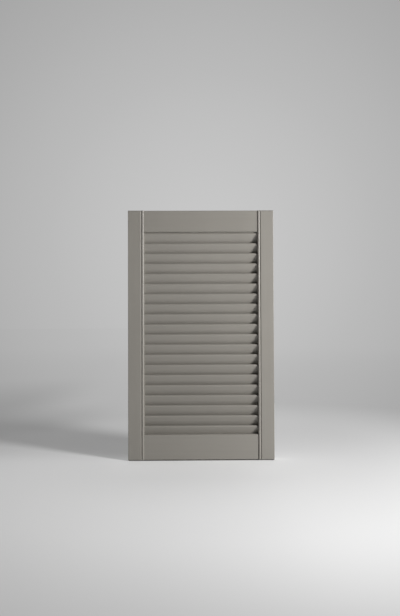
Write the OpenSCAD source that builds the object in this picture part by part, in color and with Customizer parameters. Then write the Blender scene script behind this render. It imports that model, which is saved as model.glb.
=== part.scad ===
// Fixed-louvre shutter panel in painted wood: two beaded stiles, two rails of one moulding
// and a ladder of slats let into angled housings in the stiles.
// Millimetres. The panel stands on the XY plane, centred on the origin, and its front faces -Y.

/* [Panel] */
// Overall width of the panel
panel_w = 402; // [280:1:700]
// Overall height of the panel
panel_h = 688; // [400:1:1300]

/* [Stiles] */
// Width of each stile, bead included
stile_w = 44; // [36:0.5:70]
// Thickness of each stile, which is the thickness of the panel
stile_t = 30; // [28:0.5:45]
// Diameter of the bead along the inner edge of each stile
bead_d = 7.5; // [4:0.25:8]
// Width of the quirk at the face, between the side of the bead and the field of the stile
quirk_w = 1.4; // [1:0.1:4]
// Slope of the quirk's outer wall, from the face
quirk_slope = 50; // [40:1:75]
// Radius of the eased arrises along a stile
arris_r = 1; // [0.5:0.1:2]
// Chamfer on the ends of the stiles, on both faces
end_chamfer = 2; // [0.5:0.1:3]

/* [Rails] */
// Height of each rail, lip included
rail_h = 70; // [50:1:120]
// Thickness of each rail, set back equally from both faces of the stiles
rail_t = 24.5; // [20:0.5:26]
// How far the lip of a rail stands past the seat of the end slat
rail_lip_h = 11; // [6:0.5:14]
// Radius of the round-over on the lip
lip_r = 3; // [2:0.25:10]
// Radius of the rounded edges of a rail at the head or the foot of the panel
rail_edge_r = 2.5; // [0.5:0.25:4]

/* [Slats] */
// Widest spacing of the slats, from which their number is worked out
slat_pitch_max = 28.5; // [22:0.5:29]
// Width of a slat, from edge to edge
slat_w = 35; // [32:0.5:36]
// Thickness of a slat, bullnosed on both edges
slat_t = 6.5; // [5:0.25:8]
// Lean of the slats from upright, upper edge to the front
slat_tilt = 28; // [22:0.5:30]
// Room between an end slat's edge and the seat in the rail
seat_gap = 3.2; // [1:0.1:5]

/* [Joinery] */
// Depth of the slat housings in the stiles
housing_d = 7; // [5:0.5:12]
// Glue line round a slat in its housing and against the lip of a rail
slat_fit = 0.2; // [0.1:0.05:0.4]
// Room left at each end of a slat, at the bottom of its housing
end_room = 0.3; // [0.1:0.1:0.8]
// Diameter of the dowels that join rails to stiles
dowel_d = 8; // [6:0.5:10]
// Length of a dowel
dowel_l = 40; // [30:1:50]
// Distance between the two dowels of a joint
dowel_gap = 30; // [18:1:34]
// Glue line round a dowel
dowel_fit = 0.1; // [0.05:0.05:0.2]
// Room left at each end of a dowel bore
bore_room = 1; // [0.5:0.5:3]
// Chamfer on the ends of a dowel
dowel_chamfer = 1; // [0.5:0.25:2]

/* [Hidden] */
$fn = 64;

paint = [0.59, 0.57, 0.54];
beech = [0.80, 0.66, 0.48];

// Stile section
bead_r = bead_d / 2;
field_w = stile_w - bead_d - quirk_w;
// Length of the quirk's arris along the face, and along the wall
quirk_ease = arris_r * tan(quirk_slope / 2);
// Half of the outline, from the outer edge to the inner, notched to the centre of each arris and of the bead
half_outline = [
    [0, stile_t / 2 - arris_r],
    [arris_r, stile_t / 2 - arris_r],
    [arris_r, stile_t / 2],
    [field_w - quirk_ease, stile_t / 2],
    [field_w - quirk_ease, stile_t / 2 - arris_r],
    [field_w + quirk_ease * cos(quirk_slope), stile_t / 2 - quirk_ease * sin(quirk_slope)],
    [field_w + bead_r / tan(quirk_slope), stile_t / 2 - bead_r],
    [stile_w, stile_t / 2 - bead_r]
];

// Opening between the members
opening_w = panel_w - 2 * stile_w;
seat_z = rail_h - rail_lip_h;

// Slat ladder, spaced evenly between the seats of the two rails
slat_flat = slat_w - slat_t;
slat_rise = slat_flat * cos(slat_tilt) + slat_t;
slat_len = opening_w + 2 * (housing_d - end_room);
end_slat_z = seat_z + seat_gap + slat_rise / 2;
ladder_h = panel_h - 2 * end_slat_z;
slat_gaps = ceil(ladder_h / slat_pitch_max);
slat_pitch = ladder_h / slat_gaps;
slat_count = slat_gaps + 1;

// Dowel heights in a rail, either side of the middle of its full section
dowel_heights = [for (side = [-1, 1]) seat_z / 2 + side * dowel_gap / 2];

// Larger than any section, for cuts that run out of the wood
clear = 2 * max(rail_h, stile_t, slat_w);

function slat_name(i) = str("slat_", i < 10 ? "0" : "", i);
function slat_z(i) = panel_h - end_slat_z - (i - 1) * slat_pitch;

SLATS = [for (i = [1:slat_count]) slat_name(i)];

// Extrudes a section drawn in Y and Z along X, about the middle of the panel
module along_x(length) {
    rotate([90, 0, 90]) linear_extrude(height = length, center = true) children();
}

// Puts a child at the foot of the panel, and again end over end at its head
module at_both_rails() {
    children();
    translate([0, 0, panel_h]) rotate([180, 0, 0]) children();
}

// Section of a slat, grown by a fit all round for its housing
module slat_section(fit = 0) {
    rotate(slat_tilt) {
        square([slat_t + 2 * fit, slat_flat], center = true);
        for (side = [-1, 1])
            translate([0, side * slat_flat / 2]) circle(d = slat_t + 2 * fit);
    }
}

// Section of a stile, outer edge at 0: a field with eased arrises, then a quirk and a bead on both faces
module stile_section() {
    last = len(half_outline) - 1;
    polygon(concat([for (p = half_outline) [p.x, -p.y]], [for (i = [last:-1:0]) half_outline[i]]));
    for (face = [-1, 1]) {
        for (x = [arris_r, field_w - quirk_ease])
            translate([x, face * (stile_t / 2 - arris_r)]) circle(r = arris_r);
        translate([stile_w - bead_r, face * (stile_t / 2 - bead_r)]) circle(r = bead_r);
    }
}

// Bars that take the sharp edges off the ends of the stiles, across the whole panel
module end_chamfers() {
    side = end_chamfer * sqrt(2);
    for (face = [-1, 1])
        for (z = [0, panel_h])
            translate([0, face * stile_t / 2, z]) rotate([45, 0, 0])
                cube([panel_w + clear, side, side], center = true);
}

// Full section of a rail at the foot of the panel, its round-over on the front of the upper edge
module rail_blank() {
    translate([-rail_t / 2, rail_edge_r]) square([rail_t, rail_h - lip_r - rail_edge_r]);
    translate([rail_edge_r - rail_t / 2, 0]) square([rail_t - 2 * rail_edge_r, rail_h - lip_r]);
    translate([lip_r - rail_t / 2, rail_edge_r]) square([rail_t - lip_r, rail_h - rail_edge_r]);
    for (side = [-1, 1])
        translate([side * (rail_t / 2 - rail_edge_r), rail_edge_r]) circle(r = rail_edge_r);
    translate([lip_r - rail_t / 2, rail_h - lip_r]) circle(r = lip_r);
}

// Seat cut behind the lip of a rail, its front wall along the face of the end slat
module rail_seat() {
    intersection() {
        translate([0, end_slat_z]) rotate(slat_tilt)
            translate([-slat_t / 2 - slat_fit, -clear]) square([2 * clear, 2 * clear]);
        translate([-clear, seat_z]) square([2 * clear, clear]);
    }
}

// Dowel bores of both joints of a rail, each running from the joint into rail and stile
module dowel_bores() {
    for (end = [-1, 1])
        for (z = dowel_heights)
            translate([end * opening_w / 2, 0, z]) rotate([0, 90, 0])
                cylinder(d = dowel_d + 2 * dowel_fit, h = dowel_l + 2 * bore_room, center = true);
}

// Dowel with chamfered ends, along X
module dowel() {
    barrel_l = dowel_l - 2 * dowel_chamfer;
    rotate([0, 90, 0]) {
        cylinder(d = dowel_d, h = barrel_l, center = true);
        for (end = [0, 1])
            mirror([0, 0, end]) translate([0, 0, barrel_l / 2])
                cylinder(d1 = dowel_d, d2 = dowel_d - 2 * dowel_chamfer, h = dowel_chamfer);
    }
}

// Stile at the left of the panel: the moulded section, bored for dowels and housed for every slat
module left_stile() {
    color(paint) difference() {
        translate([-panel_w / 2, 0, 0]) linear_extrude(height = panel_h) stile_section();
        end_chamfers();
        at_both_rails() dowel_bores();
        for (i = [1:slat_count])
            translate([0, 0, slat_z(i)]) along_x(opening_w + 2 * housing_d) slat_section(slat_fit);
    }
}

module right_stile() {
    mirror([1, 0, 0]) left_stile();
}

// Rail at the foot of the panel, its lip to the front
module bottom_rail() {
    color(paint) difference() {
        along_x(opening_w) difference() {
            rail_blank();
            rail_seat();
        }
        dowel_bores();
    }
}

// The same moulding end over end at the head of the panel, its lip to the back
module top_rail() {
    translate([0, 0, panel_h]) rotate([180, 0, 0]) bottom_rail();
}

// Eight dowels, two to each joint
module rail_dowels() {
    color(beech) at_both_rails()
        for (end = [-1, 1])
            for (z = dowel_heights)
                translate([end * opening_w / 2, 0, z]) dowel();
}

// Slat number i from the top
module slat(i) {
    color(paint) translate([0, 0, slat_z(i)]) along_x(slat_len) slat_section();
}

left_stile();
right_stile();
top_rail();
bottom_rail();
rail_dowels();
for (i = [1:slat_count])
    slat(i);
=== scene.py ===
import math

import bmesh
import bpy
from mathutils import Matrix, Vector

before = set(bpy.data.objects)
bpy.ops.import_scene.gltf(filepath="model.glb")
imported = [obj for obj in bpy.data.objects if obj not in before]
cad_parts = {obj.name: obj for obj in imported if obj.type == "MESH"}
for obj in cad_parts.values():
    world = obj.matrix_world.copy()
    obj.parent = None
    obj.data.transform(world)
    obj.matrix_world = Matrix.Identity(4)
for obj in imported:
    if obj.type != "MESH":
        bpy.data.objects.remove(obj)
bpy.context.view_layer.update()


# Stiles: the two uprights, planed softwood with a bead run along the inner edge of both faces.
# They are primed, rubbed down and brushed with a warm grey satin paint, laid off along their length.
# The end grain at head and foot drinks more of the paint, so it dries darker and duller there.
MM = 0.001


class Socket:
    """A shader socket: arithmetic on it adds Math nodes, and node() adds any other node to its tree."""

    def __init__(self, tree, out=None):
        self.tree = tree
        self.out = out

    def node(self, kind, settings=None, out=0, **sockets):
        made = self.tree.nodes.new("ShaderNode" + kind)
        for name, value in (settings or {}).items():
            if name == "stops":
                ramp = made.color_ramp
                for place, colour in value[2:]:
                    ramp.elements.new(place)
                for element, (place, colour) in zip(ramp.elements, value):
                    element.position = place
                    element.color = (*colour, 1.0)
            else:
                setattr(made, name, value)
        for name, value in sockets.items():
            socket = made.inputs[int(name[2:])] if name.startswith("in") else made.inputs[name.replace("_", " ")]
            if isinstance(value, Socket):
                self.tree.links.new(value.out, socket)
            else:
                socket.default_value = value
        return Socket(self.tree, made.outputs[out] if made.outputs else None)

    def math(self, operation, first, second):
        return self.node("Math", {"operation": operation}, in0=first, in1=second)

    def __add__(self, other):
        return self.math("ADD", self, other)

    def __radd__(self, other):
        return self.math("ADD", other, self)

    def __sub__(self, other):
        return self.math("SUBTRACT", self, other)

    def __rsub__(self, other):
        return self.math("SUBTRACT", other, self)

    def __mul__(self, other):
        return self.math("MULTIPLY", self, other)

    def __rmul__(self, other):
        return self.math("MULTIPLY", other, self)

    def between(self, low, high, low_out=0.0, high_out=1.0):
        """This value carried smoothly from one range to another, and held at its ends."""
        return self.node("MapRange", {"interpolation_type": "SMOOTHSTEP"},
                         Value=self, From_Min=low, From_Max=high, To_Min=low_out, To_Max=high_out)


def new_material(name):
    """An empty node material and the socket that its nodes start from."""
    material = bpy.data.materials.new(name)
    material.use_nodes = True
    material.node_tree.nodes.clear()
    return material, Socket(material.node_tree)


def srgb(red, green, blue):
    """A colour written as 0 to 255 screen values, as the linear colour that a shader takes."""
    def linear(value):
        value /= 255
        return value / 12.92 if value <= 0.04045 else ((value + 0.055) / 1.055) ** 2.4
    return linear(red), linear(green), linear(blue)


PAINT_COLOUR = srgb(149, 145, 138)
PAINT_DARK, PAINT_PALE = 0.92, 1.07
PAINT_ROUGHNESS = 0.34
BRUSH_DRAW = 0.02


def grey_paint(name, along, end_grain=False):
    """Satin paint brushed along one axis of the wood, 0 for X and 2 for Z."""
    material, start = new_material(name)
    place = start.node("TexCoord", out="Object")
    squeeze = [1.0, 1.0, 1.0]
    squeeze[along] = BRUSH_DRAW
    drawn = start.node("Mapping", Vector=place, Scale=squeeze)
    tone = start.node("TexNoise", Vector=place, Scale=7.0, Detail=2.0)
    streak = start.node("TexNoise", Vector=drawn, Scale=110.0, Detail=3.0)
    bristle = start.node("TexNoise", Vector=drawn, Scale=900.0, Detail=3.0, Roughness=0.6)
    shade = 0.45 * tone + 0.35 * streak + 0.2 * bristle
    roughness = PAINT_ROUGHNESS + 0.12 * bristle
    height = 0.6 * bristle + 0.4 * streak
    if end_grain:
        facing = start.node("NewGeometry", out="Normal")
        upright = start.node("SeparateXYZ", out="Z", Vector=facing)
        ends = start.math("MULTIPLY", upright, upright).between(0.45, 0.75)
        pith = start.node("Mapping", Vector=place, Location=(0.03, 0.06, 0.0))
        rings = start.node("TexWave", {"wave_type": "RINGS", "rings_direction": "Z"},
                           out="Fac", Vector=pith, Scale=95.0, Distortion=1.5, Detail=2.0, Detail_Scale=2.0)
        shade = shade - 0.22 * ends * rings - 0.08 * ends
        roughness = roughness + 0.16 * ends
        height = height + 0.5 * ends * rings
    dark, pale = ([c * tint for c in PAINT_COLOUR] for tint in (PAINT_DARK, PAINT_PALE))
    colour = start.node("ValToRGB", {"stops": [(0.2, dark), (0.8, pale)]}, Fac=shade)
    bump = start.node("Bump", Strength=0.3, Distance=0.15 * MM, Height=height)
    surface = start.node("BsdfPrincipled", Base_Color=colour, Roughness=roughness, Normal=bump)
    start.node("OutputMaterial", Surface=surface)
    return material


EDGE_EASE = 0.35 * MM
EDGE_ANGLE = math.radians(35)
FLAT_ANGLE = math.radians(0.5)
MERGE = 0.001 * MM


def rub_down(node):
    """Takes the sharp edge off a piece, as sanding and a film of paint do."""
    weld = node.modifiers.new("merge", "WELD")
    weld.merge_threshold = MERGE
    flat = node.modifiers.new("flats", "DECIMATE")
    flat.decimate_type = "DISSOLVE"
    flat.angle_limit = FLAT_ANGLE
    ease = node.modifiers.new("ease", "BEVEL")
    ease.width = EDGE_EASE
    ease.segments = 2
    ease.limit_method = "ANGLE"
    ease.angle_limit = EDGE_ANGLE
    shading = node.modifiers.new("shading", "WEIGHTED_NORMAL")
    shading.keep_sharp = False


def paint_piece(name, material):
    """Gives a CAD piece its paint and its softened edges."""
    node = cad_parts[name]
    node.data.materials.clear()
    node.data.materials.append(material)
    rub_down(node)


stile_paint = grey_paint("grey_paint_upright", 2, end_grain=True)
for name in ("left_stile", "right_stile"):
    paint_piece(name, stile_paint)

# Rails: the boards across the head and the foot, glued and dowelled between the stiles.
# They stand a little back from the stiles' faces, and are brushed with the same paint along their length.
cross_paint = grey_paint("grey_paint_across", 0)
for name in ("top_rail", "bottom_rail"):
    paint_piece(name, cross_paint)

# Rail dowels: plain beech pegs hidden in the joints, turned, cut to length with chamfered ends and left bare.
# Beech is pale and warm, with short darker flecks along its grain.
BEECH = srgb(203, 169, 128)
BEECH_FLECK = srgb(160, 116, 76)
beech, start = new_material("bare_beech")
place = start.node("TexCoord", out="Object")
drawn = start.node("Mapping", Vector=place, Scale=(0.12, 1.0, 1.0))
fleck = start.node("TexNoise", Vector=drawn, Scale=1400.0, Detail=4.0, Roughness=0.65)
grain = start.node("TexNoise", Vector=drawn, Scale=260.0, Detail=2.0)
colour = start.node("ValToRGB", {"stops": [(0.35, BEECH_FLECK), (0.6, BEECH)]}, Fac=0.55 * fleck + 0.45 * grain)
bump = start.node("Bump", Strength=0.4, Distance=0.1 * MM, Height=fleck)
surface = start.node("BsdfPrincipled", Base_Color=colour, Roughness=0.55 + 0.2 * fleck, Normal=bump)
start.node("OutputMaterial", Surface=surface)
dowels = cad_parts["rail_dowels"]
dowels.data.materials.clear()
dowels.data.materials.append(beech)

# Slats: thin bullnosed boards let into slanting housings in both stiles, so that they can't turn.
# They are painted like the rails, along their length.
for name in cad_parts:
    if name.startswith("slat_"):
        paint_piece(name, cross_paint)

# Floor: a pale matt sheet that runs back into a pale backdrop, with a soft pool of light painted on it behind
# the panel.
# The pool is seen from where the picture is taken, so floor and backdrop meet with no line between them.
# The sheet lies a millimetre under the foot, and its colour and glow are painted dark under the foot, a painted
# shadow that shows as a thin line along the foot.
CAMERA_PLACE = Vector((-0.022, -1.8063, 0.3788))
POOL_WAY = Vector((0.03, 1.0, 0.125)).normalized()
POOL_STOPS = [(math.cos(math.radians(a)), srgb(v, v, v)) for a, v in
              ((40, 158), (26, 166), (21, 175), (14, 186), (7, 195), (0, 199))]


def painted_pool_of_light(start, way):
    """Colour of the backdrop, with its painted pool of light, seen along a unit direction from the camera's
    place.
    """
    near = start.node("VectorMath", {"operation": "DOT_PRODUCT"}, out="Value", in0=way, in1=POOL_WAY)
    low = POOL_STOPS[0][0]
    stops = [((c - low) / (1 - low), colour) for c, colour in POOL_STOPS]
    return start.node("ValToRGB", {"stops": stops},
                      Fac=start.node("MapRange", Value=near, From_Min=low, From_Max=1.0))


FLOOR_RADIUS = 40.0
FOOT_GAP = 1.0 * MM
floor_mesh = bpy.data.meshes.new("floor")
build = bmesh.new()
bmesh.ops.create_circle(build, cap_ends=True, segments=96, radius=FLOOR_RADIUS)
build.to_mesh(floor_mesh)
build.free()
floor = bpy.data.objects.new("floor", floor_mesh)
floor.location.z = -FOOT_GAP
bpy.context.scene.collection.objects.link(floor)

FLOOR_COLOUR = 0.725
FLOOR_GLOW = 0.128
FOOT_HALF = (0.199, 0.0135)
FOOT_BLUR = 0.001
FOOT_SHADOW_LEVEL = 0.1
material, start = new_material("floor")
place = start.node("TexCoord", out="Object")
reach = start.node("VectorMath", {"operation": "LENGTH"}, out="Value", in0=place)
across = start.node("SeparateXYZ", out="X", Vector=place)
depth = start.node("SeparateXYZ", out="Y", Vector=place)
aside = start.math("ABSOLUTE", across, 0.0)
away = start.math("ABSOLUTE", depth, 0.0)
camera_ray = start.node("LightPath", out="Is Camera Ray")
glossy_ray = start.node("LightPath", out="Is Glossy Ray")
seen = start.math("MAXIMUM", camera_ray, glossy_ray)
# Under the panel's foot the floor's colour and glow are dimmed to a tenth: a painted shadow.
beside = aside.between(FOOT_HALF[0] - FOOT_BLUR, FOOT_HALF[0] + FOOT_BLUR, FOOT_SHADOW_LEVEL, 1.0)
before = away.between(FOOT_HALF[1] - FOOT_BLUR, FOOT_HALF[1] + FOOT_BLUR, FOOT_SHADOW_LEVEL, 1.0)
outside_foot_shadow = start.math("MAXIMUM", beside, before)
lit = start.node("BsdfDiffuse", Color=FLOOR_COLOUR * outside_foot_shadow)

# The sheet's glow is painted light, shown in the picture and in gloss only. It is stronger in front, at the foot
# and far back, and weaker at the sides, with a painted shadow where the panel's shadow falls to its left.
front_glow = depth.between(-0.05, 0.15, 0.061, 0.0) * across.between(0.15, 0.5, 1.0, 0.0)
foot_glow = (depth.between(-0.25, 0.0, 0.0, 0.07) * depth.between(0.0, 0.03, 1.0, 0.0)
             * aside.between(0.15, 0.3, 1.0, 0.0))
back_glow = depth.between(0.2, 1.2, 0.0, 0.14) * across.between(-0.6, -0.3)
left_dim = reach.between(0.45, 1.0, 0.0, 0.081) * across.between(-0.1, 0.35, 1.0, 0.0)
right_dim = across.between(0.15, 0.5, 0.0, 0.04)
# A painted shadow in the glow, where the panel's shadow falls on the floor to its left.
shade = ((depth + 0.65 * across).between(-0.15, -0.03, 0.0, 0.04)
         * reach.between(0.45, 0.75, 1.0, 0.0) * across.between(-0.2, 0.1, 1.0, 0.0))
glow = (FLOOR_GLOW + front_glow + foot_glow + back_glow - left_dim - right_dim - shade) * outside_foot_shadow
near = start.node("AddShader", in0=lit, in1=start.node("Emission", Color=glow * seen, Strength=1.0))

# Further off the sheet takes the backdrop's colour, with a painted shadow that darkens it a little where the
# panel's shadow trails off on the left.
from_camera = start.node("VectorMath", {"operation": "SUBTRACT"}, out="Vector", in0=place, in1=CAMERA_PLACE)
way = start.node("VectorMath", {"operation": "NORMALIZE"}, out="Vector", in0=from_camera)
painted_shadow_trail = across.between(-0.9, -0.5, 0.2, 0.0) * reach.between(1.0, 3.0, 1.0, 0.1)
pool = start.node("VectorMath", {"operation": "SCALE"}, out="Vector",
                  in0=painted_pool_of_light(start, way), Scale=reach.between(1.4, 9.0, 0.95, 1.0) - painted_shadow_trail)
far = start.node("Emission", Color=pool, Strength=1.0)
mixed = start.node("MixShader", in0=reach.between(0.65, 1.4) * seen, in1=near, in2=far)
start.node("OutputMaterial", Surface=mixed)
floor_mesh.materials.append(material)

# Backdrop and fill: the backdrop, with its painted pool of light, is seen by the camera, and in gloss only on
# the side where it hangs.
# The light that it throws back comes from behind, and none comes from the dark side of the room.
FILL_WAY = Vector((0.0, 1.0, 0.3)).normalized()
FILL = 0.78
world = bpy.data.worlds.new("studio")
bpy.context.scene.world = world
world.use_nodes = True
world.node_tree.nodes.clear()
start = Socket(world.node_tree)
way = start.node("TexCoord", out="Generated")
facing = start.node("VectorMath", {"operation": "DOT_PRODUCT"}, out="Value", in0=way, in1=FILL_WAY)
fill = start.node("Background", Color=FILL * start.math("MAXIMUM", facing, 0.0), Strength=1.0)
# What the camera sees of the backdrop is its painted pool of light.
shown = start.node("Background", Color=painted_pool_of_light(start, way), Strength=1.0)
camera_ray = start.node("LightPath", out="Is Camera Ray")
glossy_ray = start.node("LightPath", out="Is Glossy Ray")
through_ray = start.node("LightPath", out="Is Transmission Ray")
behind = facing.between(0.0, 0.4)
seen = start.math("MAXIMUM", camera_ray, (glossy_ray + through_ray) * behind)
start.node("OutputWorld", Surface=start.node("MixShader", in0=seen, in1=fill, in2=shown))

# Key lamp: one soft round lamp on the right, a little above the head of the panel.
# It draws the beads and throws the shadow to the left.
KEY_PLACE = Vector((1.63, -1.23, 0.81))
KEY_AIM = Vector((0.0, 0.0, 0.34))
KEY_POWER = 47.3
KEY_SIZE = 0.48
lamp = bpy.data.lights.new("key", "AREA")
lamp.energy = KEY_POWER
lamp.shape = "DISK"
lamp.size = KEY_SIZE
key = bpy.data.objects.new("key", lamp)
key.location = KEY_PLACE
key.rotation_mode = "QUATERNION"
key.rotation_quaternion = (KEY_AIM - KEY_PLACE).to_track_quat("-Z", "Y")
bpy.context.scene.collection.objects.link(key)

# Camera: straight on, a little above the middle of the panel and turned up slightly.
# Its place, turn and lens were fitted to the panel's edges in the photo.
CAMERA_LENS = 37.97
CAMERA_SENSOR = 36.0
CAMERA_YAW, CAMERA_PITCH, CAMERA_ROLL = (math.radians(a) for a in (0.619, 1.249, -0.215))
lens = bpy.data.cameras.new("camera")
lens.lens = CAMERA_LENS
lens.sensor_width = CAMERA_SENSOR
camera = bpy.data.objects.new("camera", lens)
bpy.context.scene.collection.objects.link(camera)
camera.matrix_world = (
    Matrix.Translation(CAMERA_PLACE)
    @ Matrix.Rotation(-CAMERA_YAW, 4, "Z")
    @ Matrix.Rotation(math.pi / 2 + CAMERA_PITCH, 4, "X")
    @ Matrix.Rotation(CAMERA_ROLL, 4, "Z"))
bpy.context.scene.camera = camera
bpy.context.scene.view_settings.view_transform = "Standard"
